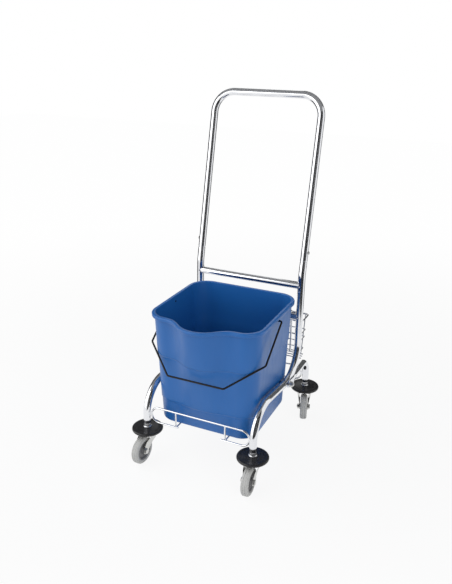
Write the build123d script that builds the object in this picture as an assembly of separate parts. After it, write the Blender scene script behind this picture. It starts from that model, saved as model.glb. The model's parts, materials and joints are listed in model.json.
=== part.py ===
"""Chromed mop-bucket trolley: a tubular frame on four swivel casters with rubber
bumpers, a push handle, a wire tray that holds a 25 litre bucket with its wire bail,
and a wire basket that hooks over a crossbar behind the bucket.

+X is the right-hand side, -Y the front, +Z up; the floor is Z 0. Everything is placed
about the middle of the wheelbase and moved at the end, so that the origin is the
bottom centre of the whole trolley. Millimetres and degrees.
"""
from build123d import *
import os
from math import cos, hypot, radians, sin, tan

# ---------------------------------------------------------------- driving dimensions
# chromed steel tube and wire
TUBE_D = 20.0
TUBE_WALL = 1.5
TRAY_WIRE_D = 5.0
BASKET_WIRE_D = 5.0
RING_WIRE_D = 3.2
FIT = 0.05                  # radial clearance of a running fit
SEAT = 0.3                  # gap left under a piece that only rests on another

# stance
TRACK = 310.0               # between the left and right swivel axes
WHEELBASE = 402.0           # between the front and rear swivel axes

# casters
WHEEL_D = 75.0
TREAD_W = 20.0
TRAIL = 30.0
HUB_W = 22.0
HUB_SIDE_GAP = 0.5
BUSH_D = 12.0
AXLE_D = 8.0
KINGPIN_D = 10.0
FORK_SHEET = 2.5
FORK_TOP_GAP = 2.0          # between the tread and the underside of the fork crown
CROWN_D = 43.0
FORK_TIP_R = 9.0
FORK_KNEE_RISE = 14.0       # from the axle to where the arms are fully drawn in
FORK_SHOULDER_DROP = 5.0
FORK_CROWN_H = 12.0
SWIVEL = {                  # where each caster happens to point: the heading of its wheel
    "front_left": -94.0,
    "front_right": -86.0,
    "rear_left": -79.0,
    "rear_right": -72.0,
}

# bumper discs
BUMPER_D = 84.0
BUMPER_T = 9.0
BUMPER_BOSS_H = 6.0
BUMPER_BOSS_D = 32.0
NECK_D = 18.0
NECK_H = 13.0

# side tubes, heights measured up from the foot of the front post
POST_RISE = 113.0           # where the line of the post meets the line of the rail
RAIL_FALL = 7.5             # the rail runs down towards the rear, degrees
FRONT_BEND_R = 80.0
REAR_BEND_R = 84.0
REAR_CORNER_Y = 111.0
UPRIGHT_LEAN = 1.6
SWEPT_BEND_R = 150.0
HANDLE_LEAN = 12.7
JOINT_RISE = 403.0
SWEPT_BELOW = 38.0          # the upright turns to the lean of the handle this far below the joint
HANDLE_RISE = 831.0
HANDLE_BEND_R = 56.0
JOINT_RING_H = 2.5
SPIGOT_DOWN = 20.0
SPIGOT_UP = 36.0
SCREW_D = 5.0
SCREW_RISE = 26.0
UPPER_BAR_BELOW = 66.0      # crossbars, measured down from the joint
LOWER_BAR_BELOW = 158.0

# rear legs
LEG_RISE = 77.5
LEG_BEND_R = 44.0
LUG_T = 4.0
LUG_H = 27.0
LUG_TIP_R = 11.5
LUG_JOG = 42.0              # length over which the round tube is pressed flat
LUG_BACK = 62.0             # where the flat begins, ahead of the rear corner's line
BOLT_D = 8.0
BOLT_Y = 22.0
NUT_AF = 13.0
NUT_H = 6.5
WASHER_D = 18.0
WASHER_T = 1.6

# wire tray
LOOP_H = 45.0
LONG_WIRE_X = 72.0
LOOP_END_X = 62.0

# bucket
BUCKET_H = 311.0
BUCKET_WALL = 2.6
BUCKET_DRAFT = 1.8
RAIL_GAP = 3.0              # between the bucket and the rails
RIM_BACK_GAP = 1.6          # between the rim and the upper crossbar, as the bucket is lifted
TRAY_GAP = 13.5             # between the bucket and the front of the tray
CORNER_R = 46.0
BASE_RECESS = 1.6
BASE_RECESS_H = 64.0
STEP_H = 196.0              # height of the nesting step
STEP_OUT = 1.8
LIP_OUT = 44.0              # how far the pouring lip stands out at the rim
LIP_SHOULDER = 1.0          # flat left between each front corner and the lip
RIM_W = 7.0
RIM_H = 10.0
RIM_SKIRT_T = 2.2

# bail
BAIL_WIRE_D = 5.0
BAIL_PIVOT_AHEAD = 2.0      # ahead of the middle of the bucket's side
BAIL_DROP = 5.5             # pivot below the underside of the rim
BAIL_ARM = 131.0
BAIL_REACH = 215.0
BAIL_GRIP_HALF = 79.0
BAIL_RIM_GAP = 2.0
BAIL_BEND_R = 9.0
BAIL_INSIDE = 1.5           # how far its ends stand inside the bucket

# basket
BASKET_DEPTH = 57.0
BASKET_BACK_LEAN = 12.0
BASKET_RIM_DROP = 21.0      # rim below the lower crossbar's centre
BASKET_H = 126.0
BASKET_OVER = 3.0           # rim stands outside the uprights' centrelines
RING_DROPS = (42.0, 62.0, 96.0)
RIM_CORNER_R = 9.0
RIB_BEND_R = 6.0
FLOOR_COUNT = 3
FLOOR_FALL = 12.0           # the basket's floor falls this much towards the front
HOOK_X = 128.0
HOOK_D = 5.5
HOOK_TIP = 8.0
HOOK_STEM = 96.0            # how far the hooks run down the front of the basket

# ---------------------------------------------------------------- worked-out places
X_SIDE = TRACK / 2
Y_FRONT = -WHEELBASE / 2
Y_REAR = WHEELBASE / 2
TUBE_R = TUBE_D / 2
WHEEL_R = WHEEL_D / 2
CROWN_UNDER_Z = WHEEL_D + FORK_TOP_GAP
CROWN_Z = CROWN_UNDER_Z + FORK_SHEET
BUMPER_BASE_Z = CROWN_Z + SEAT
BUMPER_Z = BUMPER_BASE_Z + BUMPER_BOSS_H
FOOT_Z = BUMPER_Z + BUMPER_T + NECK_H


def rail_z(y):
    """Height of the rail's centreline at a place along the trolley."""
    return FOOT_Z + POST_RISE - tan(radians(RAIL_FALL)) * (y - Y_FRONT)


def upright_y(z):
    """Place of the upright's centreline at a height, below its swept bend."""
    return REAR_CORNER_Y + tan(radians(UPRIGHT_LEAN)) * (z - rail_z(REAR_CORNER_Y))


JOINT_Z = FOOT_Z + JOINT_RISE
SWEPT_Z = JOINT_Z - SWEPT_BELOW
BAR_Z = {"upper": JOINT_Z - UPPER_BAR_BELOW, "lower": JOINT_Z - LOWER_BAR_BELOW}
HANDLE_Z = FOOT_Z + HANDLE_RISE


def handle_y(z):
    """Place of the handle's centreline at a height above the swept bend."""
    return upright_y(SWEPT_Z) + tan(radians(HANDLE_LEAN)) * (z - SWEPT_Z)


def swept_tube(path, diameter, bore=0.0):
    """A round bar, or a tube when it has a bore, carried along a path."""
    start = Plane(origin=path @ 0, z_dir=path % 0)
    section = Circle(diameter / 2)
    if bore:
        section -= Circle(bore / 2)
    return sweep(start * section, path=path)


def rod(start, end, diameter, bore=0.0):
    """A straight round bar or tube between two points."""
    return swept_tube(Line(start, end), diameter, bore)


def hexagon(across_flats, height):
    """A hexagon prism on Z, as a bolt head or a nut."""
    return extrude(RegularPolygon(across_flats / 2, 6, major_radius=False), height)


def on_x(x, y, z, facing=1):
    """A frame at a point, with its Z along the row's X, outwards for facing 1."""
    return Plane(origin=(x, y, z), x_dir=(0, facing, 0), z_dir=(facing, 0, 0))


parts = {}

# ---------------------------------------------------------------- side tubes
TUBE_BORE = TUBE_D - 2 * TUBE_WALL


def side_points(x):
    """Foot of the post, rail's two corners, swept bend and joint, on one side."""
    return [
        (x, Y_FRONT, FOOT_Z),
        (x, Y_FRONT, rail_z(Y_FRONT)),
        (x, REAR_CORNER_Y, rail_z(REAR_CORNER_Y)),
        (x, upright_y(SWEPT_Z), SWEPT_Z),
        (x, handle_y(JOINT_Z), JOINT_Z),
    ]


def side_path(x):
    return FilletPolyline(*side_points(x), radius=[FRONT_BEND_R, REAR_BEND_R, SWEPT_BEND_R])


BOLT_Z = rail_z(BOLT_Y)


def bolt_hole(side):
    """The cross hole for the bolt that fixes a rear leg."""
    return on_x(side * (X_SIDE - TUBE_D), BOLT_Y, BOLT_Z, side) * Cylinder(
        BOLT_D / 2 + FIT, 3 * TUBE_D, align=(Align.CENTER, Align.CENTER, Align.MIN))


SIDES = {"left": -1, "right": 1}
for name, side in SIDES.items():
    parts[f"side_tube_{name}"] = swept_tube(side_path(side * X_SIDE), TUBE_D, TUBE_BORE) - bolt_hole(side)

# ---------------------------------------------------------------- crossbars
for name, z in BAR_Z.items():
    bar = rod((-X_SIDE, upright_y(z), z), (X_SIDE, upright_y(z), z), TUBE_D, TUBE_BORE)
    for side in SIDES.values():
        x = side * X_SIDE
        bar -= rod((x, upright_y(z - TUBE_D), z - TUBE_D), (x, upright_y(z + TUBE_D), z + TUBE_D), TUBE_D)
    parts[f"crossbar_{name}"] = bar

# ---------------------------------------------------------------- rear legs
LEG_Z = FOOT_Z + LEG_RISE
LEG_ROUND_Y = REAR_CORNER_Y - LUG_BACK + LUG_JOG
LUG_Y = REAR_CORNER_Y - LUG_BACK
LUG_X = X_SIDE + TUBE_R + LUG_T / 2 + FIT


def rear_leg(side):
    """Post, arch and run forward, pressed flat at the end and laid on the rail's outside."""
    x = side * X_SIDE
    path = FilletPolyline((x, Y_REAR, FOOT_Z), (x, Y_REAR, LEG_Z), (x, LEG_ROUND_Y, LEG_Z), radius=LEG_BEND_R)
    leg = swept_tube(path, TUBE_D, TUBE_BORE)
    round_end = Plane(origin=(x, LEG_ROUND_Y, LEG_Z), x_dir=(1, 0, 0), z_dir=(0, -1, 0)) * Circle(TUBE_R)
    flat = Plane(origin=(side * LUG_X, LUG_Y, LEG_Z), x_dir=(1, 0, 0), z_dir=(0, -1, 0))
    pressed = loft([round_end, flat * RectangleRounded(LUG_T, LUG_H, LUG_T / 2 - FIT)])
    outline = make_hull(
        (Pos(LUG_Y, LEG_Z) * Rectangle(LUG_T, LUG_H - LUG_T)).edges()
        + (Pos(BOLT_Y, BOLT_Z) * Circle(LUG_TIP_R)).edges())
    lug = Plane(origin=(side * LUG_X, 0, 0), x_dir=(0, 1, 0), z_dir=(1, 0, 0)) * extrude(
        outline, LUG_T / 2, both=True)
    leg = leg + pressed + lug
    clear_of = swept_tube(side_path(x), TUBE_D + 2 * FIT)
    return leg - clear_of - bolt_hole(side)


for name, side in SIDES.items():
    parts[f"rear_leg_{name}"] = rear_leg(side)

# ---------------------------------------------------------------- leg bolts and nuts
BOLT_HEAD_D = 16.0
BOLT_HEAD_T = 2.2
BOLT_END = 3.0
NUT_X = LUG_X + LUG_T / 2 + WASHER_T


def leg_bolt(side):
    """Round-headed bolt from the inside of the rail, out through the lug."""
    inner = X_SIDE - TUBE_R
    head = Cylinder(BOLT_HEAD_D / 2, BOLT_HEAD_T, align=(Align.CENTER, Align.CENTER, Align.MAX))
    head = fillet(head.faces().sort_by(Axis.Z)[0].edges(), BOLT_HEAD_T / 2)
    shank = Cylinder(BOLT_D / 2, NUT_X + NUT_H + BOLT_END - inner, align=(Align.CENTER, Align.CENTER, Align.MIN))
    return on_x(side * inner, BOLT_Y, BOLT_Z, side) * (head + shank)


def leg_nut(side):
    """Hexagon nut, with its washer against the lug."""
    washer = Cylinder(WASHER_D / 2, WASHER_T, align=(Align.CENTER, Align.CENTER, Align.MAX))
    nut = washer + hexagon(NUT_AF, NUT_H) - Cylinder(BOLT_D / 2 + FIT, 4 * NUT_H)
    return on_x(side * NUT_X, BOLT_Y, BOLT_Z, side) * nut


parts["leg_bolts"] = Compound([leg_bolt(side) for side in SIDES.values()])
parts["leg_nuts"] = Compound([leg_nut(side) for side in SIDES.values()])

# ---------------------------------------------------------------- handle
HANDLE_FOOT_Z = JOINT_Z + JOINT_RING_H * cos(radians(HANDLE_LEAN))
UP_HANDLE = (0, sin(radians(HANDLE_LEAN)), cos(radians(HANDLE_LEAN)))


def on_handle(x, along):
    """A frame on a handle leg's centreline, a distance up from the joint."""
    return Plane(
        origin=(x, handle_y(JOINT_Z) + UP_HANDLE[1] * along, JOINT_Z + UP_HANDLE[2] * along),
        x_dir=(1, 0, 0), z_dir=UP_HANDLE)


handle_points = [
    (-X_SIDE, handle_y(HANDLE_FOOT_Z), HANDLE_FOOT_Z),
    (-X_SIDE, handle_y(HANDLE_Z), HANDLE_Z),
    (X_SIDE, handle_y(HANDLE_Z), HANDLE_Z),
    (X_SIDE, handle_y(HANDLE_FOOT_Z), HANDLE_FOOT_Z),
]
handle = swept_tube(FilletPolyline(*handle_points, radius=HANDLE_BEND_R), TUBE_D, TUBE_BORE)


def spigot(x):
    """Plug inside the joint, with the ring that shows between the two tubes."""
    plug = Pos(0, 0, -SPIGOT_DOWN) * Cylinder(
        TUBE_BORE / 2 - FIT, SPIGOT_DOWN + SPIGOT_UP, align=(Align.CENTER, Align.CENTER, Align.MIN))
    ring = Cylinder(TUBE_R - TUBE_WALL / 3, JOINT_RING_H, align=(Align.CENTER, Align.CENTER, Align.MIN))
    screw = Pos(0, 0, SCREW_RISE) * Rot(0, 90, 0) * Cylinder(SCREW_D / 2 + FIT, TUBE_D)
    return on_handle(x, 0) * (plug + ring - screw)


SCREW_HEAD_D = 9.0
SCREW_HEAD_H = 2.8


def handle_screw(side):
    """Button-headed screw through the outer wall of the handle into the spigot."""
    head = Cylinder(SCREW_HEAD_D / 2, SCREW_HEAD_H, align=(Align.CENTER, Align.CENTER, Align.MIN))
    head = fillet(head.faces().sort_by(Axis.Z)[-1].edges(), SCREW_HEAD_H * 0.6)
    head -= Pos(0, 0, SCREW_HEAD_H) * hexagon(SCREW_D / 2, -SCREW_HEAD_H / 2)
    shank = Cylinder(SCREW_D / 2, TUBE_R + SCREW_D, align=(Align.CENTER, Align.CENTER, Align.MAX))
    place = on_handle(side * X_SIDE, SCREW_RISE)
    return on_x(place.origin.X + side * TUBE_R, place.origin.Y, place.origin.Z, side) * (head + shank)


for side in SIDES.values():
    place = on_handle(side * X_SIDE, SCREW_RISE).origin
    handle -= on_x(place.X, place.Y, place.Z, side) * Cylinder(
        SCREW_D / 2 + FIT, TUBE_D, align=(Align.CENTER, Align.CENTER, Align.MIN))
parts["handle_tube"] = handle
parts["handle_spigots"] = Compound([spigot(side * X_SIDE) for side in SIDES.values()])
parts["handle_screws"] = Compound([handle_screw(side) for side in SIDES.values()])

# ---------------------------------------------------------------- bumpers, stems and casters
BUMPER_BORE = KINGPIN_D / 2 + FIT


def bumper():
    """Moulded rubber disc with a neck up to the tube and a boss down to the fork."""
    disc_z = BUMPER_Z + BUMPER_T / 2
    rim = BUMPER_T / 2
    with BuildPart() as disc:
        with BuildSketch(Plane.XZ):
            with BuildLine():
                Polyline(
                    (BUMPER_D / 2 - rim, disc_z - rim), (BUMPER_D * 0.3, BUMPER_Z + 0.6),
                    (BUMPER_BOSS_D / 2 + 2, BUMPER_Z), (BUMPER_BOSS_D / 2, BUMPER_BASE_Z),
                    (BUMPER_BORE, BUMPER_BASE_Z), (BUMPER_BORE, FOOT_Z), (NECK_D / 2, FOOT_Z),
                    (NECK_D / 2, disc_z + rim + 4), (NECK_D / 2 + 3, disc_z + rim + 1),
                    (BUMPER_D * 0.3, disc_z + rim - 0.4), (BUMPER_D / 2 - rim, disc_z + rim))
                ThreePointArc(
                    (BUMPER_D / 2 - rim, disc_z + rim), (BUMPER_D / 2, disc_z), (BUMPER_D / 2 - rim, disc_z - rim))
            make_face()
        revolve(axis=Axis.Z)
    return disc.part


STEM_GRIP = 16.0
RIVET_D = 15.0
RIVET_H = 2.6


def stem():
    """Plug in the post's foot, with the pin that runs down to carry the fork."""
    grip = Pos(0, 0, FOOT_Z) * Cylinder(TUBE_BORE / 2 - FIT, STEM_GRIP, align=(Align.CENTER, Align.CENTER, Align.MIN))
    pin_foot = CROWN_UNDER_Z - FIT
    pin = Pos(0, 0, pin_foot) * Cylinder(
        KINGPIN_D / 2, FOOT_Z - pin_foot, align=(Align.CENTER, Align.CENTER, Align.MIN))
    rivet = Pos(0, 0, pin_foot) * Cylinder(RIVET_D / 2, RIVET_H, align=(Align.CENTER, Align.CENTER, Align.MAX))
    return grip + pin + rivet


FORK_INNER = HUB_W / 2 + HUB_SIDE_GAP
FORK_OUTER = FORK_INNER + FORK_SHEET
CROWN_R = CROWN_D / 2


def fork():
    """Pressed-steel fork: round crown, shoulders drawn in to two tapering arms."""
    knee_z, shoulder_z = WHEEL_R + FORK_KNEE_RISE, CROWN_UNDER_Z - FORK_SHOULDER_DROP
    lower = WHEEL_R - FORK_TIP_R - 1

    def arch(half_top, half_foot, top):
        return Polygon(
            (-half_foot, lower), (-half_foot, knee_z), (-half_top, shoulder_z), (-half_top, top),
            (half_top, top), (half_top, shoulder_z), (half_foot, knee_z), (half_foot, lower), align=None)

    bent = arch(CROWN_R, FORK_OUTER, CROWN_Z) - arch(CROWN_R - FORK_SHEET, FORK_INNER, CROWN_UNDER_Z)
    strip = extrude(Plane.YZ * bent, 2 * CROWN_D, both=True)
    side_view = make_hull(
        (Pos(0, CROWN_Z - FORK_CROWN_H / 2) * Rectangle(CROWN_D, FORK_CROWN_H)).edges()
        + (Pos(TRAIL, WHEEL_R) * Circle(FORK_TIP_R)).edges())
    plan = make_hull(
        Circle(CROWN_R).edges() + (Pos(TRAIL, 0) * Rectangle(2 * FORK_TIP_R, 2 * FORK_OUTER)).edges())
    body = strip & extrude(Plane.XZ * side_view, CROWN_D, both=True) & extrude(plan, CROWN_Z + 1)
    body -= Pos(0, 0, CROWN_Z) * Cylinder(KINGPIN_D / 2 + FIT, 6 * FORK_SHEET)
    body -= Pos(TRAIL, 0, WHEEL_R) * Rot(90, 0, 0) * Cylinder(AXLE_D / 2 + FIT, 4 * FORK_OUTER)
    return body


def on_axle(shape):
    """Turns a shape made about Z onto the wheel's axis."""
    return Pos(TRAIL, 0, WHEEL_R) * Rot(90, 0, 0) * shape


AXLE_NUT_H = 5.0
AXLE_HEAD_H = 4.5


def axle_bolt():
    grip = FORK_OUTER + AXLE_NUT_H + 1.5
    shank = Pos(0, 0, -FORK_OUTER) * Cylinder(
        AXLE_D / 2, FORK_OUTER + grip, align=(Align.CENTER, Align.CENTER, Align.MIN))
    head = Pos(0, 0, -FORK_OUTER - AXLE_HEAD_H) * hexagon(NUT_AF, AXLE_HEAD_H)
    return on_axle(shank + head)


def axle_nut():
    return on_axle(Pos(0, 0, FORK_OUTER) * (hexagon(NUT_AF, AXLE_NUT_H) - Cylinder(AXLE_D / 2 + FIT, 4 * AXLE_NUT_H)))


def axle_bush():
    return on_axle(Cylinder(BUSH_D / 2, 2 * FORK_INNER) - Cylinder(AXLE_D / 2 + FIT, 4 * FORK_INNER))


TYRE_T = 10.5
HUB_R = WHEEL_R - TYRE_T


def tyre():
    """Rubber tread with round shoulders and two moulded lines."""
    shoulder = 4.5
    with BuildPart() as ring:
        with BuildSketch(Plane.XZ):
            with Locations((HUB_R + TYRE_T / 2, 0)):
                Rectangle(TYRE_T, TREAD_W)
            fillet([v for v in vertices() if v.X > HUB_R + 1], shoulder)
            for offset in (-3.2, 3.2):
                with Locations((WHEEL_R, offset)):
                    Circle(0.7, mode=Mode.SUBTRACT)
        revolve(axis=Axis.Z)
    return on_axle(ring.part)


def hub():
    """Moulded wheel centre: a rim, a thin web with a dished ring, and a long boss."""
    half, web, boss = TREAD_W / 2 - 1, 3.5, HUB_W / 2
    profile = Polyline(
        (BUSH_D / 2 + FIT, -boss), (BUSH_D / 2 + 4, -boss), (BUSH_D / 2 + 5, -web), (HUB_R - 5, -web),
        (HUB_R - 3.5, -half), (HUB_R, -half), (HUB_R, half), (HUB_R - 3.5, half), (HUB_R - 5, web),
        (BUSH_D / 2 + 5, web), (BUSH_D / 2 + 4, boss), (BUSH_D / 2 + FIT, boss), close=True)
    return on_axle(revolve(Plane.XZ * make_face(profile.edges()), Axis.Z))


CORNERS = {
    f"{end}_{side}": (sign * X_SIDE, y)
    for end, y in (("front", Y_FRONT), ("rear", Y_REAR)) for side, sign in SIDES.items()
}
CASTER_PIECES = {
    "caster_fork": fork(), "axle_bolt": axle_bolt(), "axle_nut": axle_nut(), "axle_bush": axle_bush(),
    "wheel_tyre": tyre(), "wheel_hub": hub(),
}
BUMPER = bumper()
STEM = stem()
for corner, (x, y) in CORNERS.items():
    parts[f"bumper_{corner}"] = Pos(x, y, 0) * BUMPER
    parts[f"caster_stem_{corner}"] = Pos(x, y, 0) * STEM
    for name, shape in CASTER_PIECES.items():
        parts[f"{name}_{corner}"] = Pos(x, y, 0) * Rot(0, 0, SWIVEL[corner]) * shape

# ---------------------------------------------------------------- wire tray
TRAY_R = TRAY_WIRE_D / 2
LONG_WIRE_Z = FOOT_Z - 1.0
LOOP_FOOT_Z = LONG_WIRE_Z + TRAY_WIRE_D
LOOP_TOP_Z = LOOP_FOOT_Z + LOOP_H
LOOP_X = X_SIDE - TUBE_R - TRAY_R - FIT


def end_loop(end):
    """Wire across between two posts, its ends curled back under to the long wires."""
    y = end * (WHEELBASE / 2 - TUBE_R + TRAY_WIRE_D)
    curl = LOOP_H / 2 - 0.5
    return swept_tube(FilletPolyline(
        (-LOOP_END_X, y, LOOP_FOOT_Z), (-LOOP_X, y, LOOP_FOOT_Z), (-LOOP_X, y, LOOP_TOP_Z),
        (LOOP_X, y, LOOP_TOP_Z), (LOOP_X, y, LOOP_FOOT_Z), (LOOP_END_X, y, LOOP_FOOT_Z), radius=curl), TRAY_WIRE_D)


def long_wire(x):
    """Wire under the bucket from end to end, turned up behind both end loops."""
    y = WHEELBASE / 2 - TUBE_R - FIT
    return swept_tube(FilletPolyline(
        (x, -y, LOOP_TOP_Z), (x, -y, LONG_WIRE_Z), (x, y, LONG_WIRE_Z), (x, y, LOOP_TOP_Z),
        radius=2 * TRAY_R), TRAY_WIRE_D)


parts["tray_front_loop"] = end_loop(-1)
parts["tray_rear_loop"] = end_loop(1)
parts["tray_long_wire_left"] = long_wire(-LONG_WIRE_X)
parts["tray_long_wire_right"] = long_wire(LONG_WIRE_X)

# ---------------------------------------------------------------- bucket
BUCKET_Z = LONG_WIRE_Z + TRAY_R + SEAT
RIM_Z = BUCKET_Z + BUCKET_H
DRAFT = tan(radians(BUCKET_DRAFT))
TIGHT_Z = rail_z(0)
RIM_OUT = STEP_OUT + RIM_W
BACK_AT_RIM = upright_y(BAR_Z["upper"]) - TUBE_R - RIM_BACK_GAP - RIM_OUT
FRONT_AT_BASE = -WHEELBASE / 2 + TUBE_R + TRAY_R + TRAY_GAP


def bucket_limits(z):
    """Reach of the outside at a height: half its width, to the back, and to the front."""
    return (
        X_SIDE - TUBE_R - RAIL_GAP + DRAFT * (z - TIGHT_Z),
        BACK_AT_RIM + DRAFT * (z - RIM_Z),
        -FRONT_AT_BASE + DRAFT * (z - BUCKET_Z),
    )


def lip_out(z):
    """How far the pouring lip stands out of the front at a height."""
    return LIP_OUT * max(z - BUCKET_Z, 0.5) / BUCKET_H


def bucket_outline(z, grow=0.0):
    """Outside of the bucket at a height, as a closed face; grow moves it outwards."""
    half, back, front = (limit + grow for limit in bucket_limits(z))
    front = -front
    lip = lip_out(z)
    corner = CORNER_R + grow
    wide = half - corner - LIP_SHOULDER
    swing = wide * 0.5
    edges = [
        Line((-half, front + corner), (-half, back - corner)),
        RadiusArc((-half, back - corner), (-half + corner, back), corner),
        Line((-half + corner, back), (half - corner, back)),
        RadiusArc((half - corner, back), (half, back - corner), corner),
        Line((half, back - corner), (half, front + corner)),
        RadiusArc((half, front + corner), (half - corner, front), corner),
        Line((half - corner, front), (wide, front)),
        Bezier((wide, front), (swing, front), (swing, front - lip), (0, front - lip)),
        Bezier((0, front - lip), (-swing, front - lip), (-swing, front), (-wide, front)),
        Line((-wide, front), (-half + corner, front)),
        RadiusArc((-half + corner, front), (-half, front + corner), corner),
    ]
    return Pos(0, 0, z) * make_face(Wire(edges)).face()


def stack(levels, grow=0.0):
    """A solid through outlines of the bucket, each at a height and moved out a distance."""
    return loft([bucket_outline(z, out + grow) for z, out in levels], ruled=True)


BASE_TOP_Z = BUCKET_Z + BASE_RECESS_H
STEP_Z = BUCKET_Z + STEP_H
BASE_EDGE_R = 7.0
FLOOR_T = 3.0
SHELL_LEVELS = [
    (BUCKET_Z, -BASE_RECESS - BASE_EDGE_R),
    (BUCKET_Z + 0.3 * BASE_EDGE_R, -BASE_RECESS - 0.3 * BASE_EDGE_R),
    (BUCKET_Z + BASE_EDGE_R, -BASE_RECESS),
    (BASE_TOP_Z, -BASE_RECESS),
    (BASE_TOP_Z + BASE_RECESS, 0),
    (STEP_Z, 0),
    (STEP_Z + STEP_OUT, STEP_OUT),
    (RIM_Z, STEP_OUT),
]
RIM_FOOT_Z = RIM_Z - RIM_H
RIM_LEVELS = [
    (RIM_FOOT_Z, RIM_OUT - 0.5),
    (RIM_FOOT_Z + 1, RIM_OUT),
    (RIM_Z - 3, RIM_OUT),
    (RIM_Z - 1, RIM_OUT - 1),
    (RIM_Z, RIM_OUT - 3),
]
shell = stack(SHELL_LEVELS)
cavity_levels = [(z + FLOOR_T, out) for z, out in SHELL_LEVELS[:3]] + SHELL_LEVELS[3:-1] + [(RIM_Z + 1, STEP_OUT)]
cavity = stack(cavity_levels, -BUCKET_WALL)
channel = stack([(RIM_FOOT_Z - 1, RIM_OUT), (RIM_Z - BUCKET_WALL, RIM_OUT)], -RIM_SKIRT_T)
bucket = shell + (stack(RIM_LEVELS) - channel) - cavity

# ---------------------------------------------------------------- bail
BAIL_R = BAIL_WIRE_D / 2
BAIL_Z = RIM_FOOT_Z - BAIL_DROP
WALL_HALF, WALL_BACK, WALL_FRONT = bucket_limits(BAIL_Z)
BAIL_Y = (WALL_BACK - WALL_FRONT) / 2 - BAIL_PIVOT_AHEAD
BAIL_X = bucket_limits(RIM_Z)[0] + RIM_OUT + BAIL_RIM_GAP + BAIL_R
BAIL_END_X = WALL_HALF + STEP_OUT - BUCKET_WALL - BAIL_INSIDE


def on_bail(x, reach, hang):
    """A point of the bail: across, out from the pivots, hanging forward below level."""
    return (x, BAIL_Y - reach * cos(radians(hang)), BAIL_Z - reach * sin(radians(hang)))


def bail_clearance(hang):
    """Least distance from the bail's slanted sides to the front corners, and from its grip to the lip."""
    gaps = []
    for step in range(25):
        share = step / 24
        x, y, z = on_bail(
            BAIL_X + (BAIL_GRIP_HALF - BAIL_X) * share, BAIL_ARM + (BAIL_REACH - BAIL_ARM) * share, hang)
        half, _, front = bucket_limits(z)
        out_x, out_y = x - (half - CORNER_R), -y - (front - CORNER_R)
        gaps.append(hypot(max(out_x, 0), max(out_y, 0)) - CORNER_R - STEP_OUT)
    _, y, z = on_bail(0, BAIL_REACH, hang)
    gaps.append(-y - bucket_limits(z)[2] - lip_out(z) - STEP_OUT)
    return min(gaps)


def resting_hang():
    """The angle at which the bail comes to rest against the bucket, by halving."""
    level, steep = 0.0, 80.0
    while steep - level > 0.01:
        middle = (level + steep) / 2
        if bail_clearance(middle) > BAIL_R + SEAT:
            level = middle
        else:
            steep = middle
    return level


BAIL_HANG = resting_hang()
parts["bail"] = swept_tube(FilletPolyline(
    *[on_bail(x, reach, BAIL_HANG) for x, reach in (
        (-BAIL_END_X, 0), (-BAIL_X, 0), (-BAIL_X, BAIL_ARM), (-BAIL_GRIP_HALF, BAIL_REACH),
        (BAIL_GRIP_HALF, BAIL_REACH), (BAIL_X, BAIL_ARM), (BAIL_X, 0), (BAIL_END_X, 0))],
    radius=[BAIL_WIRE_D, BAIL_BEND_R, BAIL_BEND_R, BAIL_BEND_R, BAIL_BEND_R, BAIL_WIRE_D]), BAIL_WIRE_D)
bucket -= Pos(0, BAIL_Y, BAIL_Z) * Rot(0, 90, 0) * Cylinder(BAIL_R + FIT, 2 * BAIL_X)
parts["bucket"] = bucket

# ---------------------------------------------------------------- rear wire basket
BASKET_R = BASKET_WIRE_D / 2
RING_R = RING_WIRE_D / 2
HOOK_R = HOOK_D / 2
CROSSBAR_Z = BAR_Z["lower"]
CROSSBAR_Y = upright_y(CROSSBAR_Z)
HOOK_SWEEP = TUBE_R + SEAT + HOOK_R
BASKET_TOP_Z = CROSSBAR_Z - BASKET_RIM_DROP
BASKET_FOOT_Z = BASKET_TOP_Z - BASKET_H
BASKET_FRONT_Y = CROSSBAR_Y + HOOK_SWEEP + HOOK_R + FIT + BASKET_R
BASKET_X = X_SIDE + BASKET_OVER
WELD_STEP = RING_WIRE_D + 3 * FIT       # between the middles of two thin wires that cross


def basket_back(z):
    """The back of the basket leans in towards its foot."""
    return BASKET_FRONT_Y + BASKET_DEPTH - tan(radians(BASKET_BACK_LEAN)) * (BASKET_TOP_Z - z)


def basket_ring(z, diameter, inset, corner):
    """A closed wire ring around the basket at a height."""
    half, front, back = BASKET_X - inset, BASKET_FRONT_Y + inset, basket_back(z) - inset
    outline = Pos(0, (front + back) / 2, z) * RectangleRounded(2 * half, back - front, corner)
    return swept_tube(outline.wire(), diameter)


FLOOR_BACK_Z = BASKET_FOOT_Z + FLOOR_FALL
FLOOR_BACK_Y = basket_back(FLOOR_BACK_Z)


def basket_rib(x):
    """A wire down the front, under and up the back, welded beneath the rim."""
    top = BASKET_TOP_Z - BASKET_R - FIT
    back_top = top - RING_WIRE_D / 2 * sin(radians(BASKET_BACK_LEAN))
    return swept_tube(FilletPolyline(
        (x, BASKET_FRONT_Y, top), (x, BASKET_FRONT_Y, BASKET_FOOT_Z),
        (x, FLOOR_BACK_Y, FLOOR_BACK_Z), (x, basket_back(back_top), back_top), radius=RIB_BEND_R), RING_WIRE_D)


def floor_wire(share):
    """A wire across the floor, lying on the ribs, at a share of the way back."""
    reach = FLOOR_BACK_Y - BASKET_FRONT_Y
    y = BASKET_FRONT_Y + share * reach
    z = BASKET_FOOT_Z + share * FLOOR_FALL + WELD_STEP * hypot(reach, FLOOR_FALL) / reach
    return rod((-BASKET_X, y, z), (BASKET_X, y, z), RING_WIRE_D)


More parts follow.
